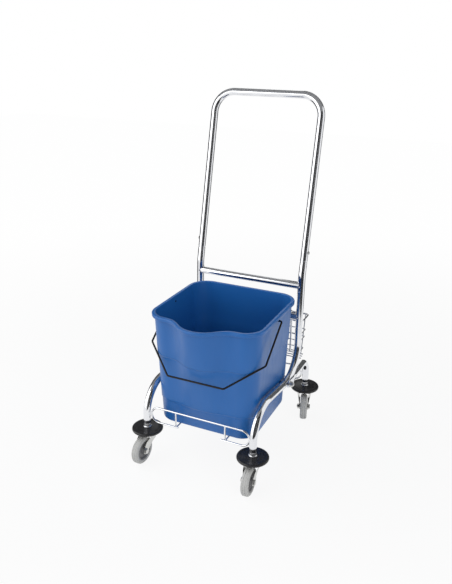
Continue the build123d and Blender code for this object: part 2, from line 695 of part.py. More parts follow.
def basket_hook(x):
    """Thick wire down the front of the basket, bent over the lower crossbar at the top."""
    back, front = CROSSBAR_Y + HOOK_SWEEP, CROSSBAR_Y - HOOK_SWEEP
    path = Wire([
        Line((x, back, BASKET_TOP_Z - HOOK_STEM), (x, back, CROSSBAR_Z)),
        ThreePointArc((x, back, CROSSBAR_Z), (x, CROSSBAR_Y, CROSSBAR_Z + HOOK_SWEEP), (x, front, CROSSBAR_Z)),
        Line((x, front, CROSSBAR_Z), (x, front, CROSSBAR_Z - HOOK_TIP)),
    ])
    return swept_tube(path, HOOK_D)


parts["basket_rim"] = basket_ring(BASKET_TOP_Z, BASKET_WIRE_D, 0, RIM_CORNER_R)
for number, drop in enumerate(RING_DROPS, 1):
    parts[f"basket_ring_{number}"] = basket_ring(BASKET_TOP_Z - drop, RING_WIRE_D, WELD_STEP, RIM_CORNER_R - WELD_STEP)
parts["basket_ribs"] = Compound([
    basket_rib((BASKET_X - RIM_CORNER_R) * share) for share in (-1, -1 / 3, 1 / 3, 1)])
parts["basket_floor_wires"] = Compound([
    floor_wire((index + 1) / (FLOOR_COUNT + 1)) for index in range(FLOOR_COUNT)])
parts["basket_hooks"] = Compound([basket_hook(side * HOOK_X) for side in SIDES.values()])

# ---------------------------------------------------------------- origin and export
extent = Compound(list(parts.values())).bounding_box()
ORIGIN = Vector(extent.center().X, extent.center().Y, extent.min.Z)

os.makedirs("parts", exist_ok=True)
for name, shape in parts.items():
    export_step(Pos(-ORIGIN) * shape, f"parts/{name}.step")
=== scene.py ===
"""Mop-bucket trolley dressed for its picture: chromed tube frame, rubber bumpers, grey
casters, a blue moulded bucket with its black wire bail, a wire tray and a wire basket.
Metres; +X is the right-hand side, -Y the front, +Z up, and the floor is Z 0.
"""
import json

import bmesh
import bpy
import numpy as np
from mathutils import Matrix, Vector


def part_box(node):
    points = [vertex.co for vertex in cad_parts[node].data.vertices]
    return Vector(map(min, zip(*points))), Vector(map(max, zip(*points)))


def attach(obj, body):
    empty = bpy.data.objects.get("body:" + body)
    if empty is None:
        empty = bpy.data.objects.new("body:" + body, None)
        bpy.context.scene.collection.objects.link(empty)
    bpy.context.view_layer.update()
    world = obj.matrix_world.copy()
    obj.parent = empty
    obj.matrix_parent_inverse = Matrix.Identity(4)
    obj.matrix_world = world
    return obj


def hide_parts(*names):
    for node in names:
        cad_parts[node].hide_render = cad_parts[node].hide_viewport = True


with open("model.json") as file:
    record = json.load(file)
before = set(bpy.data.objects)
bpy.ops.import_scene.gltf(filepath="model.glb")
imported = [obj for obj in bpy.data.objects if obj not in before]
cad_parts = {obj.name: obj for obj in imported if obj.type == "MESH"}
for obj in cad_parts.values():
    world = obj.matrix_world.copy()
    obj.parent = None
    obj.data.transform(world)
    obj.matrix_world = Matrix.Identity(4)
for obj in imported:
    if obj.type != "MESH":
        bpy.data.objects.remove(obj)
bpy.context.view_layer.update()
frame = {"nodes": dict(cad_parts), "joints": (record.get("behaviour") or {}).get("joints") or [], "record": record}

# ---------------------------------------------------------------- studio
# A pale floor under plain soft light: one large lamp to the left, a weak one overhead and
# one to the front right. The camera stands to the front right, a little above the handle.


class Field:
    """A number that changes over a surface; arithmetic on it adds Math nodes."""

    def __init__(self, board, socket):
        self.board, self.socket = board, socket

    def math(self, operation, *values):
        return self.board.add("ShaderNodeMath", {"operation": operation}, *values)

    def __add__(self, other):
        return self.math("ADD", self, other)

    def __mul__(self, other):
        return self.math("MULTIPLY", self, other)

    def ramp(self, low, high):
        """0 below low, 1 above high, smooth between."""
        return self.board.add("ShaderNodeMapRange", {"interpolation_type": "SMOOTHSTEP"},
                              Value=self, From_Min=low, From_Max=high)

    __radd__ = __add__
    __rmul__ = __mul__


class Board:
    """The node tree of a material or of the sky."""

    def __init__(self, owner):
        owner.use_nodes = True
        self.tree = owner.node_tree
        self.tree.nodes.clear()

    def feed(self, socket, value):
        if isinstance(value, Field):
            self.tree.links.new(value.socket, socket)
        else:
            socket.default_value = value

    def add(self, kind, settings=None, *values, out=0, **named):
        """A node of a kind: its settings first, then values or links for its sockets.

        A name that ends in a number is a socket's place in the list of inputs.
        """
        node = self.tree.nodes.new(kind)
        for key, value in (settings or {}).items():
            setattr(node, key, value)
        for index, value in enumerate(values):
            self.feed(node.inputs[index], value)
        for name, value in named.items():
            if name[-1].isdigit():
                self.feed(node.inputs[int(name.rpartition("_")[2])], value)
            else:
                self.feed(node.inputs[name.replace("_", " ")], value)
        return Field(self, node.outputs[out]) if node.outputs else None


def white_background(board, shader, share=1.0):
    """Shows plain white by a share, to the camera and to metal and glass alike.

    The rays are the camera's, glossy and transmission ones, each 0 or 1, and their sum
    stops at 1; other rays meet the shader itself, so that it lights things as it is.
    """
    camera_ray, glossy_ray, transmission_ray = [
        board.add("ShaderNodeLightPath", out=ray) for ray in (0, 3, 6)]
    total = camera_ray + glossy_ray + transmission_ray
    seen = total.math("MINIMUM", total, 1.0)
    white = board.add("ShaderNodeEmission", None, (1.0, 1.0, 1.0, 1.0), 1.0)
    return board.add("ShaderNodeMixShader", None, seen * share, shader, white)


floor_reach = 6.0
floor_mesh = bpy.data.meshes.new("studio_floor")
floor_mesh.from_pydata(
    [(-floor_reach, -floor_reach, 0), (floor_reach, -floor_reach, 0),
     (floor_reach, floor_reach, 0), (-floor_reach, floor_reach, 0)], [], [(0, 1, 2, 3)])
floor = bpy.data.objects.new("studio_floor", floor_mesh)
bpy.context.scene.collection.objects.link(floor)
floor_paint = bpy.data.materials.new("pale_floor")
board = Board(floor_paint)
paint = board.add("ShaderNodeBsdfDiffuse", None, (0.86, 0.86, 0.86, 1.0))
spot = board.add("ShaderNodeTexCoord", out=3)
away = board.add("ShaderNodeVectorMath", {"operation": "LENGTH"}, spot, out=1)
fade_from, fade_to = 0.6, 2.4               # the painted floor shows less from here to here
white_near, white_gain = 0.90, 0.09
white_share = away.ramp(fade_from, fade_to) * white_gain + white_near
board.add("ShaderNodeOutputMaterial", None, white_background(board, paint, white_share))
floor_mesh.materials.append(floor_paint)

# The sky lights everything evenly, and is white to look at and in polished metal.
world = bpy.data.worlds.new("studio_room")
bpy.context.scene.world = world
board = Board(world)
sky = board.add("ShaderNodeBackground", None, (0.95, 0.97, 1.0, 1.0), 0.30)
board.add("ShaderNodeOutputWorld", None, white_background(board, sky))

# Boards stand close round the trolley and one hangs over it, none of them in the picture,
# so that polished tube shows a dark streak along its middle and a thin line at each edge.
# They are seen only in reflections and cast no shadow.


def studio_board(name, grid, shade):
    """A board on a grid of points, painted one grey."""
    rows, columns = grid.shape[:2]
    start = (np.arange(rows - 1)[:, None] * columns + np.arange(columns - 1)).ravel()
    quads = np.stack([start, start + 1, start + columns + 1, start + columns], -1)
    mesh = bpy.data.meshes.new(name)
    mesh.from_pydata(grid.reshape(-1, 3).tolist(), [], quads.tolist())
    paint = bpy.data.materials.new(name)
    board = Board(paint)
    board.add("ShaderNodeOutputMaterial", None,
              board.add("ShaderNodeBsdfDiffuse", None, (shade, shade, shade, 1.0)))
    mesh.materials.append(paint)
    piece = bpy.data.objects.new(name, mesh)
    bpy.context.scene.collection.objects.link(piece)
    piece.visible_camera = piece.visible_diffuse = piece.visible_shadow = False


board_r, board_low, board_top = 1.05, 0.002, 2.2


def standing_board(name, turn_from, turn_to, shade):
    """A curved board: a point at turn t and height z is at board_r (sin t, -cos t), z.

    Turns are in degrees from the front, and positive to the right.
    """
    turns = np.radians(np.linspace(turn_from, turn_to, 25))
    turn, height = np.meshgrid(turns, (board_low, board_top))
    grid = np.stack([board_r * np.sin(turn), -board_r * np.cos(turn), height], -1)
    studio_board(name, grid, shade)


standing_board("board_beside_camera", 2.0, 90.0, 0.055)
standing_board("board_behind_left", -142.0, -74.0, 0.14)
standing_board("board_behind_right", 138.0, 190.0, 0.12)
over_reach, over_z = 1.0, 1.5
over_x, over_y = np.meshgrid((-over_reach, over_reach), (-over_reach, over_reach))
studio_board("board_overhead", np.stack([over_x, over_y, over_x * 0 + over_z], -1), 0.40)

lamp_target = (0.0, 0.0, 0.30)


def lamp(name, place, across, power):
    """A square soft lamp at a place, turned to the target and hidden from the camera."""
    data = bpy.data.lights.new(name, "AREA")
    data.shape, data.size, data.energy = "SQUARE", across, power
    light = bpy.data.objects.new(name, data)
    light.location = place
    light.visible_camera = False
    aim = Vector(lamp_target) - Vector(place)
    light.rotation_euler = aim.to_track_quat("-Z", "Y").to_euler()
    bpy.context.scene.collection.objects.link(light)


lamp("left_lamp", (-2.3, -1.2, 1.8), 5.0, 104)
lamp("overhead_lamp", (0.2, -0.8, 2.9), 1.8, 4)
lamp("right_lamp", (2.0, -1.6, 1.1), 1.6, 24)

# The camera's turn away from facing the front squarely, its tip downwards and its roll.
camera_turn, camera_tip, camera_roll = np.radians([25.078, 21.453, -0.421])
camera_place = (0.6907, -1.4999, 1.0949)
ahead = np.array([-np.sin(camera_turn) * np.cos(camera_tip),
                  np.cos(camera_turn) * np.cos(camera_tip), -np.sin(camera_tip)])
right = np.array([np.cos(camera_turn), np.sin(camera_turn), 0.0])
down = np.cross(ahead, right)
right, down = (right * np.cos(camera_roll) + down * np.sin(camera_roll),
               down * np.cos(camera_roll) - right * np.sin(camera_roll))
sensor, frame_high, focal = 36.0, 584, 665.3        # focal in the units of the frame's height
lens = bpy.data.cameras.new("camera")
lens.lens = sensor * focal / frame_high
lens.clip_start, lens.clip_end = 0.05, 60.0
camera = bpy.data.objects.new("camera", lens)
bpy.context.scene.collection.objects.link(camera)
camera.matrix_world = Matrix((
    (right[0], -down[0], -ahead[0], camera_place[0]),
    (right[1], -down[1], -ahead[1], camera_place[1]),
    (right[2], -down[2], -ahead[2], camera_place[2]),
    (0.0, 0.0, 0.0, 1.0)))
bpy.context.scene.camera = camera
bpy.context.scene.view_settings.view_transform = "Standard"

# ---------------------------------------------------------------- side tubes
# Each side is one 20 mm steel tube, bent three times and bright chromed: the front
# post, the rail that falls to the rear, and the upright that leans back to the handle.
tube_r = 0.010
side_x = 0.155
middle_y, half_base = 0.0128651, 0.201      # the middle of the wheelbase, and half of it
front_y, rear_y = middle_y - half_base, middle_y + half_base
foot_z = 0.1078


class Finish(Board):
    """A material built on one Principled shader."""

    def __init__(self, name, **sockets):
        self.material = bpy.data.materials.new(name)
        super().__init__(self.material)
        self.shader = self.tree.nodes.new("ShaderNodeBsdfPrincipled")
        out = self.tree.nodes.new("ShaderNodeOutputMaterial")
        self.tree.links.new(self.shader.outputs[0], out.inputs[0])
        self.set(**sockets)
        self.place = self.add("ShaderNodeTexCoord", out=3)

    def set(self, **sockets):
        for name, value in sockets.items():
            self.feed(self.shader.inputs[name.replace("_", " ")], value)

    def grain(self, scale, detail=3.0, stretch=(1.0, 1.0, 1.0)):
        """Cloudy noise, scale in cells a metre, drawn out along an axis by a small stretch."""
        place = self.place
        if stretch != (1.0, 1.0, 1.0):
            place = self.add("ShaderNodeMapping", None, place, Scale=stretch)
        return self.add("ShaderNodeTexNoise", None, Vector=place, Scale=scale, Detail=detail)

    def blend(self, share, low, high):
        """A colour between two, by a share that changes over the surface."""
        return self.add("ShaderNodeMix", {"data_type": "RGBA"}, share, out=2,
                        low_6=low, high_7=high)

    def relief(self, height, depth, strength):
        """Fine unevenness of the surface; depth in metres."""
        self.set(Normal=self.add("ShaderNodeBump", None,
                                 Strength=strength, Distance=depth, Height=height))


def bent(corners, radii, arc_steps, closed=False):
    """Runs between corners joined by arcs: places and directions along the line.

    At a corner with turning angle t the arc starts r tan(t/2) before it, and runs
    c + r (e cos a + u sin a), with u the incoming direction and e from the centre.
    """
    corners = np.asarray(corners, float)
    if closed:
        start = (corners[0] + corners[-1]) / 2
        corners = np.vstack([start, corners, start])
    radii = np.broadcast_to(radii, len(corners) - 2)
    places = [corners[:1]]
    ways = [[(corners[1] - corners[0]) / np.linalg.norm(corners[1] - corners[0])]]
    for before, here, after, radius in zip(corners, corners[1:], corners[2:], radii):
        come, go = here - before, after - here
        come, go = come / np.linalg.norm(come), go / np.linalg.norm(go)
        angle = np.arccos(np.clip(come @ go, -1, 1))
        entry = here - come * radius * np.tan(angle / 2)
        centre = here + (go - come) / np.linalg.norm(go - come) * radius / np.cos(angle / 2)
        out = (entry - centre) / radius
        sweep = np.linspace(0, angle, arc_steps)[:, None]
        places.append(centre + radius * (out * np.cos(sweep) + come * np.sin(sweep)))
        ways.append(come * np.cos(sweep) - out * np.sin(sweep))
    places.append(corners[-1:])
    ways.append([(corners[-1] - corners[-2]) / np.linalg.norm(corners[-1] - corners[-2])])
    places, ways = np.vstack(places), np.vstack(ways)
    return (places[:-1], ways[:-1]) if closed else (places, ways)


def straight(start, end):
    """A run from point to point, as places and directions."""
    ends = np.array([start, end], float)
    way = (ends[1] - ends[0]) / np.linalg.norm(ends[1] - ends[0])
    return ends, np.stack([way, way])


cap_rings = 5               # rings in the small quarter-round at each end of a bar


def bar(line, normal, radius, sides, end_round=0.0008, closed=False):
    """Round bar: line + radius (cos a side + sin a normal), side = normal x direction.

    The line lies in a plane with that normal. The ends close to a point, over a
    small quarter-round of end_round.
    """
    places, ways = line
    normal = np.asarray(normal, float) / np.linalg.norm(normal)
    radii = np.full(len(places), radius)
    if not closed:
        turn = np.linspace(0, np.pi / 2, cap_rings)
        shoulder = radius - end_round * (1 - np.sin(turn))
        radii = np.concatenate([[0.0], shoulder, radii[1:-1], shoulder[::-1], [0.0]])
        back = end_round * (1 - np.cos(turn))
        first = places[0] + ways[0] * back[:, None]
        last = places[-1] - ways[-1] * back[::-1, None]
        places = np.vstack([places[:1], first, places[1:-1], last, places[-1:]])
        ways = np.vstack([ways[:1], np.repeat(ways[:1], cap_rings, 0), ways[1:-1],
                          np.repeat(ways[-1:], cap_rings, 0), ways[-1:]])
    side = np.cross(normal, ways)
    angle = np.linspace(0, 2 * np.pi, sides, endpoint=False)[None, :, None]
    ring = np.cos(angle) * side[:, None, :] + np.sin(angle) * normal
    return places[:, None, :] + radii[:, None, None] * ring


home = {node: body for body, nodes in frame["record"]["behaviour"]["bodies"].items()
        for node in nodes}


def piece(name, grids, finish, slot, *nodes, closed=False, sharp=40.0):
    """Puts one or more surface grids into a mesh, closes their seams and poles, and lets
    the piece stand for CAD nodes and ride on their body."""
    grids = grids if isinstance(grids, list) else [grids]
    points, faces, base = [], [], 0
    for grid in grids:
        rows, columns = grid.shape[:2]
        row = np.arange(rows if closed else rows - 1)[:, None]
        column = np.arange(columns)[None, :]
        after, beside = (row + 1) % rows, (column + 1) % columns
        quads = np.stack([row * columns + column, row * columns + beside,
                          after * columns + beside, after * columns + column], -1)
        points.append(grid.reshape(-1, 3))
        faces.append(quads.reshape(-1, 4) + base)
        base += rows * columns
    mesh = bpy.data.meshes.new(name)
    mesh.from_pydata(np.vstack(points).tolist(), [], np.vstack(faces).tolist())
    shape = bmesh.new()
    shape.from_mesh(mesh)
    bmesh.ops.remove_doubles(shape, verts=shape.verts, dist=1e-7)
    bmesh.ops.dissolve_degenerate(shape, edges=shape.edges, dist=1e-7)
    bmesh.ops.recalc_face_normals(shape, faces=shape.faces)
    shape.to_mesh(mesh)
    shape.free()
    dressed(name, mesh, finish, nodes, sharp)


def dressed(name, mesh, finish, nodes, sharp):
    """Smooths a mesh up to an angle, gives it its finish, and ties it to its CAD nodes."""
    mesh.polygons.foreach_set("use_smooth", np.ones(len(mesh.polygons), bool))
    mesh.set_sharp_from_angle(angle=np.radians(sharp))
    mesh.materials.append(finish.material)
    made = bpy.data.objects.new(name, mesh)
    bpy.context.scene.collection.objects.link(made)
    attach(made, home[nodes[0]])
    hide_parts(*nodes)
    return made


chrome = Finish("bright_chrome", Metallic=1.0)
smears = chrome.grain(22.0, 4.0)
chrome.set(Base_Color=chrome.blend(smears.ramp(0.35, 0.7), (0.84, 0.85, 0.87, 1.0),
                                   (0.76, 0.77, 0.80, 1.0)),
           Roughness=smears.ramp(0.3, 0.8) * 0.04 + 0.09)

rail_z = foot_z + 0.113
rail_fall = np.tan(np.radians(7.5))
rear_corner_y = middle_y + 0.111
rear_corner_z = rail_z - rail_fall * (rear_corner_y - front_y)
upright_lean = np.tan(np.radians(1.6))
handle_lean = np.radians(12.7)
swept_z, joint_z = foot_z + 0.365, foot_z + 0.403
swept_y = rear_corner_y + upright_lean * (swept_z - rear_corner_z)
joint_y = swept_y + np.tan(handle_lean) * (joint_z - swept_z)
tube_bends = [0.080, 0.084, 0.150]
for name, x in (("left", -side_x), ("right", side_x)):
    line = bent([(x, front_y, foot_z), (x, front_y, rail_z), (x, rear_corner_y, rear_corner_z),
                 (x, swept_y, swept_z), (x, joint_y, joint_z)], tube_bends, 20)
    piece(f"polished_side_tube_{name}", bar(line, (1, 0, 0), tube_r, 36), chrome,
          "chromed_tube", f"side_tube_{name}")

# ---------------------------------------------------------------- crossbars
# Two lengths of the same tube, their ends cut to the round of the uprights and
# welded there all round before plating.
crossbar_rise = {"upper": 0.337, "lower": 0.245}
end_share = 0.35            # of tube_r, from each end of the bar to the upright's middle line
weld_r, weld_sink, ripple, ripples = 0.0011, 0.0004, 0.12, 24
weld_turn = np.linspace(0, 2 * np.pi, 73)[:-1]
bead_turn = np.linspace(0, 2 * np.pi, 9)[:-1]
saddle = np.sqrt(np.clip(tube_r**2 - (tube_r * np.cos(weld_turn))**2, 0, None))
swell = weld_r * (1 + ripple * np.sin(ripples * weld_turn))
for name, rise in crossbar_rise.items():
    z = foot_z + rise
    y = rear_corner_y + upright_lean * (z - rear_corner_z)
    reach = side_x - tube_r * end_share
    across = bar(straight((-reach, y, z), (reach, y, z)), (0, 0, 1), tube_r, 36)
    beads = []
    for side in (-1, 1):
        middle = np.stack([side * (side_x - saddle - weld_sink), y + tube_r * np.cos(weld_turn),
                           z + tube_r * np.sin(weld_turn)], -1)
        out = np.stack([0 * weld_turn, np.cos(weld_turn), np.sin(weld_turn)], -1)
        beads.append(middle[:, None] + swell[:, None, None] * (
            np.cos(bead_turn)[None, :, None] * out[:, None]
            + np.sin(bead_turn)[None, :, None] * np.array([side, 0, 0])))
    piece(f"polished_crossbar_{name}", across, chrome, "chromed_tube", f"crossbar_{name}")
    piece(f"crossbar_welds_{name}", beads, chrome, "chromed_tube", f"crossbar_{name}", closed=True)

# ---------------------------------------------------------------- rear legs
# A second tube on each side: post, arch and a run forward that is pressed flat to
# a lug, which the leg's bolt holds against the outside of the rail.
leg_z, leg_bend = foot_z + 0.0775, 0.044
lug_x, lug_y, lug_t, lug_h, lug_tip_r = 0.16705, middle_y + 0.049, 0.004, 0.027, 0.0115
round_y = middle_y + 0.091                  # the tube is still round here
bolt_y = middle_y + 0.022
bolt_z = rail_z - rail_fall * (bolt_y - front_y)
flat_power = 0.38
leg_sides = 48
leg_turn = np.linspace(0, 2 * np.pi, leg_sides, endpoint=False)


def pressed(y, z, x, half_h, half_t, power):
    """Section at y: x + half_t |sin a|^p and z - half_h |cos a|^p, signs kept.

    It is round at power 1, and flat with round edges at a lower one.
    """
    cosine, sine = np.cos(leg_turn), np.sin(leg_turn)
    return np.stack([x + half_t * np.sign(sine) * np.abs(sine)**power, np.full_like(leg_turn, y),
                     z - half_h * np.sign(cosine) * np.abs(cosine)**power], -1)


for name, side in (("left", -1), ("right", 1)):
    x = side * side_x
    line = bent([(x, rear_y, foot_z), (x, rear_y, leg_z), (x, round_y, leg_z)], leg_bend, 22)
    rings = bar(line, (1, 0, 0), tube_r, leg_sides)[:-cap_rings - 1]
    share = np.linspace(0, 1, 15)
    ease = share * share * (3 - 2 * share)
    jog = [pressed(round_y + (lug_y - round_y) * s, leg_z, x + (side * lug_x - x) * e,
                   tube_r + (lug_h / 2 - tube_r) * e, tube_r + (lug_t / 2 - tube_r) * e,
                   1 - (1 - flat_power) * e)
           for s, e in zip(share, ease)]
    lug = []
    rounding = bolt_y - lug_tip_r * np.sin(np.linspace(0, np.pi / 2, 12))[1:]
    for y in np.concatenate([np.linspace(lug_y, bolt_y, 8)[1:], rounding]):
        if y >= bolt_y:
            s = (lug_y - y) / (lug_y - bolt_y)
            top = leg_z + lug_h / 2 + (bolt_z + lug_tip_r - leg_z - lug_h / 2) * s
            low = leg_z - lug_h / 2 + (bolt_z - lug_tip_r - leg_z + lug_h / 2) * s
        else:
            rise = np.sqrt(max(lug_tip_r**2 - (bolt_y - y)**2, 0))
            top, low = bolt_z + rise, bolt_z - rise
        thick = lug_t / 2 if top - low > 0.0005 else 0      # the last ring is a point
        lug.append(pressed(y, (top + low) / 2, side * lug_x, (top - low) / 2, thick, flat_power))
    piece(f"polished_rear_leg_{name}", np.concatenate([rings, np.array(jog), np.array(lug)]),
          chrome, "chromed_tube", f"rear_leg_{name}")

# ---------------------------------------------------------------- leg bolts and nuts
# Zinc-plated M8 fastenings, taken from the CAD solids with their edges broken.
zinc = Finish("zinc_plate", Metallic=1.0)
bloom = zinc.grain(160.0, 5.0)
zinc.set(Base_Color=zinc.blend(bloom, (0.50, 0.50, 0.49, 1.0), (0.74, 0.74, 0.72, 1.0)),
         Roughness=bloom * 0.16 + 0.22)
zinc.relief(zinc.grain(1400.0, 2.0), 0.00003, 0.3)


def from_solid(name, node, finish, edge):
    """A merged copy of a CAD node, its flats made whole and its edges broken by a bevel."""
    mesh = frame["nodes"][node].data.copy()
    mesh.materials.clear()
    shape = bmesh.new()
    shape.from_mesh(mesh)
    bmesh.ops.remove_doubles(shape, verts=shape.verts, dist=1e-6)
    bmesh.ops.dissolve_limit(shape, angle_limit=np.radians(1.0), verts=shape.verts,
                             edges=shape.edges)
    shape.to_mesh(mesh)
    shape.free()
    made = dressed(name, mesh, finish, (node,), 30.0)
    bevel = made.modifiers.new("broken_edges", "BEVEL")
    bevel.width, bevel.segments, bevel.limit_method = edge, 2, "ANGLE"
    bevel.angle_limit = np.radians(30)


from_solid("zinc_leg_bolts", "leg_bolts", zinc, 0.0003)
from_solid("zinc_leg_nuts", "leg_nuts", zinc, 0.0003)

# ---------------------------------------------------------------- push handle
# One inverted U of the same tube. It stands on two spigots, and a button-headed
# screw in each joint holds it; a thin ring of each spigot shows between the tubes.
joint_gap, handle_bend = 0.0025, 0.056
handle_foot_z = joint_z + joint_gap * np.cos(handle_lean)
handle_top_z = foot_z + 0.831
foot_y = swept_y + np.tan(handle_lean) * (handle_foot_z - swept_z)
top_y = swept_y + np.tan(handle_lean) * (handle_top_z - swept_z)
handle_line = bent([(-side_x, foot_y, handle_foot_z), (-side_x, top_y, handle_top_z),
                    (side_x, top_y, handle_top_z), (side_x, foot_y, handle_foot_z)],
                   handle_bend, 26)
handle_normal = (0, -np.cos(handle_lean), np.sin(handle_lean))
piece("polished_handle", bar(handle_line, handle_normal, tube_r, 36), chrome,
      "chromed_tube", "handle_tube")
from_solid("polished_handle_spigots", "handle_spigots", chrome, 0.0002)
from_solid("zinc_handle_screws", "handle_screws", zinc, 0.0002)

# ---------------------------------------------------------------- bumpers
# Glossy black rubber discs, moulded with a neck that closes on the tube's foot and a
# boss that stands on the caster. The top of the neck is finished as a plated collar.
rubber = Finish("black_rubber", Specular_IOR_Level=0.4)
collar_from, collar_to = 0.0972, 0.0978     # heights between which rubber turns to plate
marks = rubber.grain(60.0, 5.0)
height = rubber.add("ShaderNodeSeparateXYZ", None, rubber.place, out=2)
collar = height.ramp(collar_from, collar_to)
moulding = rubber.blend(marks, (0.010, 0.010, 0.011, 1.0), (0.026, 0.026, 0.028, 1.0))
rubber.set(Base_Color=rubber.blend(collar, moulding, (0.72, 0.73, 0.75, 1.0)), Metallic=collar,
           Roughness=marks * 0.18 + 0.22)
rubber.relief(rubber.grain(1100.0, 2.0), 0.00005, 0.35)


def turned(profile, centre, axis=(0.0, 0.0, 1.0), steps=72):
    """Turned form: centre + h axis + r (cos a u + sin a v), for r and h of the profile."""
    axis = np.asarray(axis, float) / np.linalg.norm(axis)
    u = np.cross(axis, (0.0, 0.0, 1.0) if abs(axis[2]) < 0.9 else (1.0, 0.0, 0.0))
    u /= np.linalg.norm(u)
    v = np.cross(axis, u)
    angle = np.linspace(0, 2 * np.pi, steps, endpoint=False)[None, :, None]
    profile = np.asarray(profile, float)
    return (np.asarray(centre, float) + profile[:, 1, None, None] * axis
            + profile[:, 0, None, None] * (np.cos(angle) * u + np.sin(angle) * v))


def rounded(outline, radii, steps):
    """An outline of radius and height with its inner corners rounded."""
    flat = [(r, h, 0.0) for r, h in outline]
    return bent(flat, radii, steps)[0][:, :2]


corners = {"front_left": (-side_x, front_y), "front_right": (side_x, front_y),
           "rear_left": (-side_x, rear_y), "rear_right": (side_x, rear_y)}
bore_r, boss_r, boss_low = 0.0052, 0.0160, 0.0799
disc_r, disc_low, disc_high = 0.042, 0.0858, 0.0948
dish_r, neck_r = 0.0290, 0.0090
bumper_profile = rounded(
    [(bore_r, boss_low), (boss_r, boss_low), (0.0180, disc_low), (dish_r, disc_low + 0.0006),
     (disc_r, disc_low), (disc_r, disc_high), (dish_r, disc_high - 0.0004),
     (0.0125, disc_high + 0.0012), (0.0092, disc_high + 0.0042), (neck_r, foot_z),
     (bore_r, foot_z)],
    [0.0008, 0.0015, 0.004, 0.0040, 0.0040, 0.004, 0.0025, 0.001, 0.0006], 8)
bumper_profile = np.vstack([bumper_profile, bumper_profile[:1]])
for corner, (x, y) in corners.items():
    piece(f"rubber_bumper_{corner}", turned(bumper_profile, (x, y, 0.0)), rubber,
          "bumper_rubber", f"bumper_{corner}")

# ---------------------------------------------------------------- casters
# Pressed zinc-plated forks on kingpins, each with an axle bolt, its nut and a
# steel bush between the cheeks.
for corner in corners:
    from_solid(f"pressed_fork_{corner}", f"caster_fork_{corner}", zinc, 0.0005)
    for part in ("caster_stem", "axle_bolt", "axle_nut", "axle_bush"):
        from_solid(f"zinc_{part}_{corner}", f"{part}_{corner}", zinc, 0.0003)

# ---------------------------------------------------------------- wheels
# A grey tread with round shoulders and two moulded lines, on a grey moulded hub
# with a long boss and a thin dished web.
tread = Finish("grey_tread")
dust = tread.grain(45.0, 5.0)
tread.set(Base_Color=tread.blend(dust, (0.46, 0.46, 0.45, 1.0), (0.58, 0.58, 0.56, 1.0)),
          Roughness=dust * 0.2 + 0.5)
tread.relief(tread.grain(900.0, 3.0), 0.00008, 0.4)
# The hub's dark grey is partly its own colour and partly painted shade: it is darkened to stand for the fork's
# shadow over the middle of the wheel.
moulded = Finish("grey_moulding_and_painted_shade")
cloud = moulded.grain(70.0, 4.0)
moulded.set(Base_Color=moulded.blend(cloud, (0.14, 0.14, 0.145, 1.0), (0.22, 0.22, 0.22, 1.0)),
            Roughness=cloud * 0.15 + 0.40)
moulded.relief(moulded.grain(1200.0, 2.0), 0.00005, 0.3)
wheel_r, hub_r, half_tread = 0.0375, 0.027, 0.010
line_out, line_in, line_depth, line_slope = 0.0040, 0.0024, 0.0007, 0.0005
side_profile = rounded(
    [(hub_r, half_tread - 0.0006), (hub_r + 0.0012, half_tread - 0.0006),
     (hub_r + 0.0018, half_tread), (wheel_r - 0.0040, half_tread),
     (wheel_r, half_tread - 0.0035), (wheel_r, line_out)],
    [0.0004, 0.0004, 0.0030, 0.0035], 7)
line_dip = np.array([(wheel_r, line_out), (wheel_r - line_depth, line_out - line_slope),
                     (wheel_r - line_depth, line_in + line_slope), (wheel_r, line_in)])
half_tyre = np.vstack([side_profile[:-1], line_dip])
tyre_profile = np.vstack([half_tyre, half_tyre[::-1] * (1, -1), half_tyre[:1]])
axle_r, hub_boss_r, half_boss = 0.0061, 0.0096, 0.0110
web_from, web_to, half_web, half_flange = 0.0112, 0.0212, 0.0036, 0.0090
half_hub = rounded(
    [(axle_r, half_boss), (hub_boss_r, half_boss), (web_from, half_web), (web_to, half_web),
     (0.0234, half_flange), (hub_r, half_flange)],
    [0.0008, 0.0012, 0.0014, 0.0010], 6)
hub_profile = np.vstack([half_hub, half_hub[::-1] * (1, -1), half_hub[:1]])
for corner in corners:
    low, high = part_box(f"wheel_hub_{corner}")
    centre = (np.array(low) + np.array(high)) / 2
    spin = next(joint for joint in frame["joints"] if joint["name"] == f"spin_{corner}")["axis"]
    piece(f"grey_tyre_{corner}", turned(tyre_profile, centre, spin, 96), tread,
          "grey_tyre", f"wheel_tyre_{corner}")
    piece(f"grey_hub_{corner}", turned(hub_profile, centre, spin, 72), moulded,
          "grey_hub", f"wheel_hub_{corner}")

# ---------------------------------------------------------------- wire tray
# Chromed 5 mm wire: a loop across each end, its ends curled back under, and two
# long wires that carry the bucket and turn up behind the loops.
wire_r = 0.0025
touch = 0.00005             # the gap left between wires and tubes that are welded together
long_z, long_x, long_bend = foot_z - 0.001, 0.072, 0.005
loop_low, loop_high = long_z + 0.005, long_z + 0.050
loop_x = side_x - tube_r - wire_r - touch
loop_end_x, loop_bend = 0.062, 0.022
for name, end in (("front", -1), ("rear", 1)):
    y = middle_y + end * (half_base - tube_r + 0.005)
    line = bent([(-loop_end_x, y, loop_low), (-loop_x, y, loop_low), (-loop_x, y, loop_high),
                 (loop_x, y, loop_high), (loop_x, y, loop_low), (loop_end_x, y, loop_low)],
                loop_bend, 18)
    piece(f"chromed_tray_loop_{name}", bar(line, (0, 1, 0), wire_r, 20), chrome,
          "chromed_wire", f"tray_{name}_loop")
long_reach = half_base - tube_r - touch
for name, x in (("left", -long_x), ("right", long_x)):
    line = bent([(x, middle_y - long_reach, loop_high), (x, middle_y - long_reach, long_z),
                 (x, middle_y + long_reach, long_z), (x, middle_y + long_reach, loop_high)],
                long_bend, 8)
    piece(f"chromed_long_wire_{name}", bar(line, (1, 0, 0), wire_r, 20), chrome,
          "chromed_wire", f"tray_long_wire_{name}")

